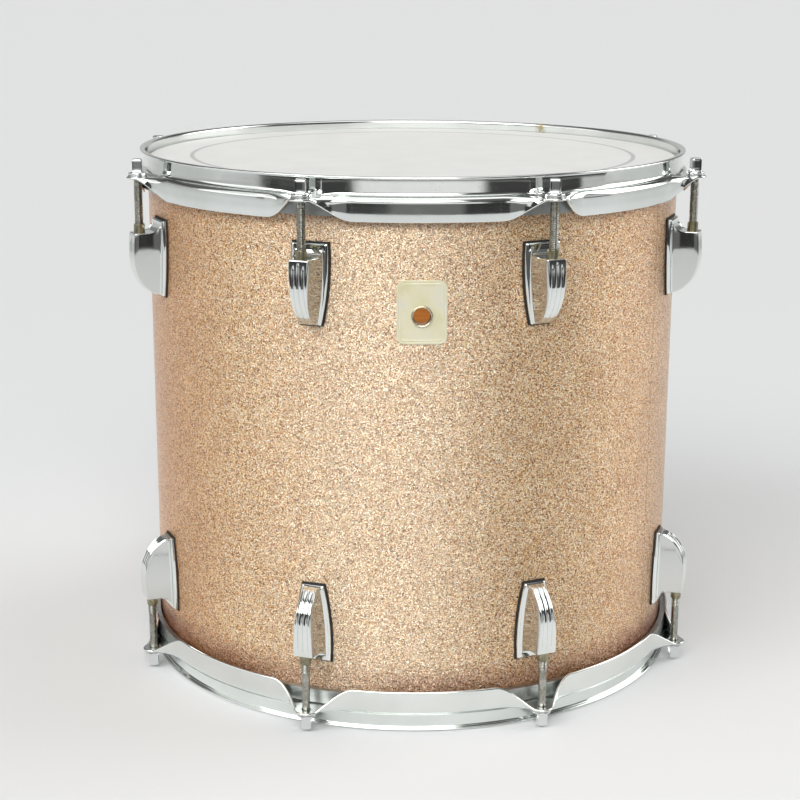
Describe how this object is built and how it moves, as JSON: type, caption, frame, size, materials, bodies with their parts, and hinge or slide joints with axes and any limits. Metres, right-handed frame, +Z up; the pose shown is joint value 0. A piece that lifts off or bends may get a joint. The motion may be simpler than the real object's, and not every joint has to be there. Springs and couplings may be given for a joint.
{
  "type": "tom tom drum",
  "caption": "Cylindrical wooden tom tom drum in a sparkle wrap, with a head, a flanged hoop, lugs and tension rods at each end.",
  "frame": {"origin": "on the drum's axis, in the plane that the lower rim stands on", "axes": "+Z up along the drum's axis towards the batter head; the badge faces -Y; each pair of lugs straddles X and Y"},
  "size_m": [0.3712, 0.3712, 0.3452],
  "materials": {
    "shell": "bare maple plies, clear sealed",
    "reinforcement_ring": "bare maple, clear sealed",
    "wrap": "champagne sparkle flakes under a clear gloss",
    "badge": "pale satin",
    "grommet": "nickel plated",
    "head_film": "smooth white polyester",
    "control_ring": "thin laminated polyester ring",
    "flesh_hoop": "drawn channel",
    "hoop": "chrome plated pressed steel",
    "washer": "plated",
    "swivel_nut": "dull, unplated",
    "lug_spring": "plain wire",
    "gasket": "black",
    "lug_screw": "zinc plated",
    "lug": "chrome plated zinc casting",
    "rod": "dull nickel plated steel"
  },
  "bodies": {
    "shell_body": {"shell": "shell", "upper_reinforcement_ring": "reinforcement_ring", "lower_reinforcement_ring": "reinforcement_ring", "wrap": "wrap", "badge": "badge", "vent_grommet": "grommet", "batter_head_film": "head_film", "resonant_head_film": "head_film", "batter_control_ring": "control_ring", "batter_flesh_hoop": "flesh_hoop", "resonant_flesh_hoop": "flesh_hoop", "upper_screw_washers": "washer", "lower_screw_washers": "washer", "upper_swivel_nuts": "swivel_nut", "lower_swivel_nuts": "swivel_nut", "upper_lug_springs": "lug_spring", "lower_lug_springs": "lug_spring", "upper_lug_gaskets": "gasket", "lower_lug_gaskets": "gasket", "upper_lug_screws": "lug_screw", "lower_lug_screws": "lug_screw", "upper_lug_1": "lug", "upper_lug_2": "lug", "upper_lug_3": "lug", "upper_lug_4": "lug", "upper_lug_5": "lug", "upper_lug_6": "lug", "upper_lug_7": "lug", "upper_lug_8": "lug", "lower_lug_1": "lug", "lower_lug_2": "lug", "lower_lug_3": "lug", "lower_lug_4": "lug", "lower_lug_5": "lug", "lower_lug_6": "lug", "lower_lug_7": "lug", "lower_lug_8": "lug"},
    "batter_hoop_body": {"batter_hoop": "hoop", "upper_rod_washers": "washer"},
    "resonant_hoop_body": {"resonant_hoop": "hoop", "lower_rod_washers": "washer"},
    "upper_rod_1_body": {"upper_rod_1": "rod"},
    "upper_rod_2_body": {"upper_rod_2": "rod"},
    "upper_rod_3_body": {"upper_rod_3": "rod"},
    "upper_rod_4_body": {"upper_rod_4": "rod"},
    "upper_rod_5_body": {"upper_rod_5": "rod"},
    "upper_rod_6_body": {"upper_rod_6": "rod"},
    "upper_rod_7_body": {"upper_rod_7": "rod"},
    "upper_rod_8_body": {"upper_rod_8": "rod"},
    "lower_rod_1_body": {"lower_rod_1": "rod"},
    "lower_rod_2_body": {"lower_rod_2": "rod"},
    "lower_rod_3_body": {"lower_rod_3": "rod"},
    "lower_rod_4_body": {"lower_rod_4": "rod"},
    "lower_rod_5_body": {"lower_rod_5": "rod"},
    "lower_rod_6_body": {"lower_rod_6": "rod"},
    "lower_rod_7_body": {"lower_rod_7": "rod"},
    "lower_rod_8_body": {"lower_rod_8": "rod"}
  },
  "joints": [
    {"name": "batter_hoop_lift", "type": "slide", "parent": "shell_body", "child": "batter_hoop_body", "axis": [0, 0, 1], "range_m": [0, 0.01588]},
    {"name": "resonant_hoop_drop", "type": "slide", "parent": "shell_body", "child": "resonant_hoop_body", "axis": [0, 0, -1], "range_m": [0, 0.01588]},
    {"name": "upper_rod_1_turn", "type": "hinge", "parent": "batter_hoop_body", "child": "upper_rod_1_body", "pos_m": [0.07367, -0.17785, 0.33], "axis": [0, 0, 1], "range_deg": [0, 5401]},
    {"name": "upper_rod_2_turn", "type": "hinge", "parent": "batter_hoop_body", "child": "upper_rod_2_body", "pos_m": [0.17785, -0.07367, 0.33], "axis": [0, 0, 1], "range_deg": [0, 5401]},
    {"name": "upper_rod_3_turn", "type": "hinge", "parent": "batter_hoop_body", "child": "upper_rod_3_body", "pos_m": [0.17785, 0.07367, 0.33], "axis": [0, 0, 1], "range_deg": [0, 5401]},
    {"name": "upper_rod_4_turn", "type": "hinge", "parent": "batter_hoop_body", "child": "upper_rod_4_body", "pos_m": [0.07367, 0.17785, 0.33], "axis": [0, 0, 1], "range_deg": [0, 5401]},
    {"name": "upper_rod_5_turn", "type": "hinge", "parent": "batter_hoop_body", "child": "upper_rod_5_body", "pos_m": [-0.07367, 0.17785, 0.33], "axis": [0, 0, 1], "range_deg": [0, 5401]},
    {"name": "upper_rod_6_turn", "type": "hinge", "parent": "batter_hoop_body", "child": "upper_rod_6_body", "pos_m": [-0.17785, 0.07367, 0.33], "axis": [0, 0, 1], "range_deg": [0, 5401]},
    {"name": "upper_rod_7_turn", "type": "hinge", "parent": "batter_hoop_body", "child": "upper_rod_7_body", "pos_m": [-0.17785, -0.07367, 0.33], "axis": [0, 0, 1], "range_deg": [0, 5401]},
    {"name": "upper_rod_8_turn", "type": "hinge", "parent": "batter_hoop_body", "child": "upper_rod_8_body", "pos_m": [-0.07367, -0.17785, 0.33], "axis": [0, 0, 1], "range_deg": [0, 5401]},
    {"name": "lower_rod_1_turn", "type": "hinge", "parent": "resonant_hoop_body", "child": "lower_rod_1_body", "pos_m": [0.07367, -0.17785, 0.015], "axis": [0, 0, -1], "range_deg": [0, 5401]},
    {"name": "lower_rod_2_turn", "type": "hinge", "parent": "resonant_hoop_body", "child": "lower_rod_2_body", "pos_m": [0.17785, -0.07367, 0.015], "axis": [0, 0, -1], "range_deg": [0, 5401]},
    {"name": "lower_rod_3_turn", "type": "hinge", "parent": "resonant_hoop_body", "child": "lower_rod_3_body", "pos_m": [0.17785, 0.07367, 0.015], "axis": [0, 0, -1], "range_deg": [0, 5401]},
    {"name": "lower_rod_4_turn", "type": "hinge", "parent": "resonant_hoop_body", "child": "lower_rod_4_body", "pos_m": [0.07367, 0.17785, 0.015], "axis": [0, 0, -1], "range_deg": [0, 5401]},
    {"name": "lower_rod_5_turn", "type": "hinge", "parent": "resonant_hoop_body", "child": "lower_rod_5_body", "pos_m": [-0.07367, 0.17785, 0.015], "axis": [0, 0, -1], "range_deg": [0, 5401]},
    {"name": "lower_rod_6_turn", "type": "hinge", "parent": "resonant_hoop_body", "child": "lower_rod_6_body", "pos_m": [-0.17785, 0.07367, 0.015], "axis": [0, 0, -1], "range_deg": [0, 5401]},
    {"name": "lower_rod_7_turn", "type": "hinge", "parent": "resonant_hoop_body", "child": "lower_rod_7_body", "pos_m": [-0.17785, -0.07367, 0.015], "axis": [0, 0, -1], "range_deg": [0, 5401]},
    {"name": "lower_rod_8_turn", "type": "hinge", "parent": "resonant_hoop_body", "child": "lower_rod_8_body", "pos_m": [-0.07367, -0.17785, 0.015], "axis": [0, 0, -1], "range_deg": [0, 5401]}
  ],
  "couplings": [
    {"joint": "upper_rod_1_turn", "follows": "batter_hoop_lift", "rad_per_m": 5936.9},
    {"joint": "upper_rod_2_turn", "follows": "batter_hoop_lift", "rad_per_m": 5936.9},
    {"joint": "upper_rod_3_turn", "follows": "batter_hoop_lift", "rad_per_m": 5936.9},
    {"joint": "upper_rod_4_turn", "follows": "batter_hoop_lift", "rad_per_m": 5936.9},
    {"joint": "upper_rod_5_turn", "follows": "batter_hoop_lift", "rad_per_m": 5936.9},
    {"joint": "upper_rod_6_turn", "follows": "batter_hoop_lift", "rad_per_m": 5936.9},
    {"joint": "upper_rod_7_turn", "follows": "batter_hoop_lift", "rad_per_m": 5936.9},
    {"joint": "upper_rod_8_turn", "follows": "batter_hoop_lift", "rad_per_m": 5936.9},
    {"joint": "lower_rod_1_turn", "follows": "resonant_hoop_drop", "rad_per_m": 5936.9},
    {"joint": "lower_rod_2_turn", "follows": "resonant_hoop_drop", "rad_per_m": 5936.9},
    {"joint": "lower_rod_3_turn", "follows": "resonant_hoop_drop", "rad_per_m": 5936.9},
    {"joint": "lower_rod_4_turn", "follows": "resonant_hoop_drop", "rad_per_m": 5936.9},
    {"joint": "lower_rod_5_turn", "follows": "resonant_hoop_drop", "rad_per_m": 5936.9},
    {"joint": "lower_rod_6_turn", "follows": "resonant_hoop_drop", "rad_per_m": 5936.9},
    {"joint": "lower_rod_7_turn", "follows": "resonant_hoop_drop", "rad_per_m": 5936.9},
    {"joint": "lower_rod_8_turn", "follows": "resonant_hoop_drop", "rad_per_m": 5936.9}
  ]
}
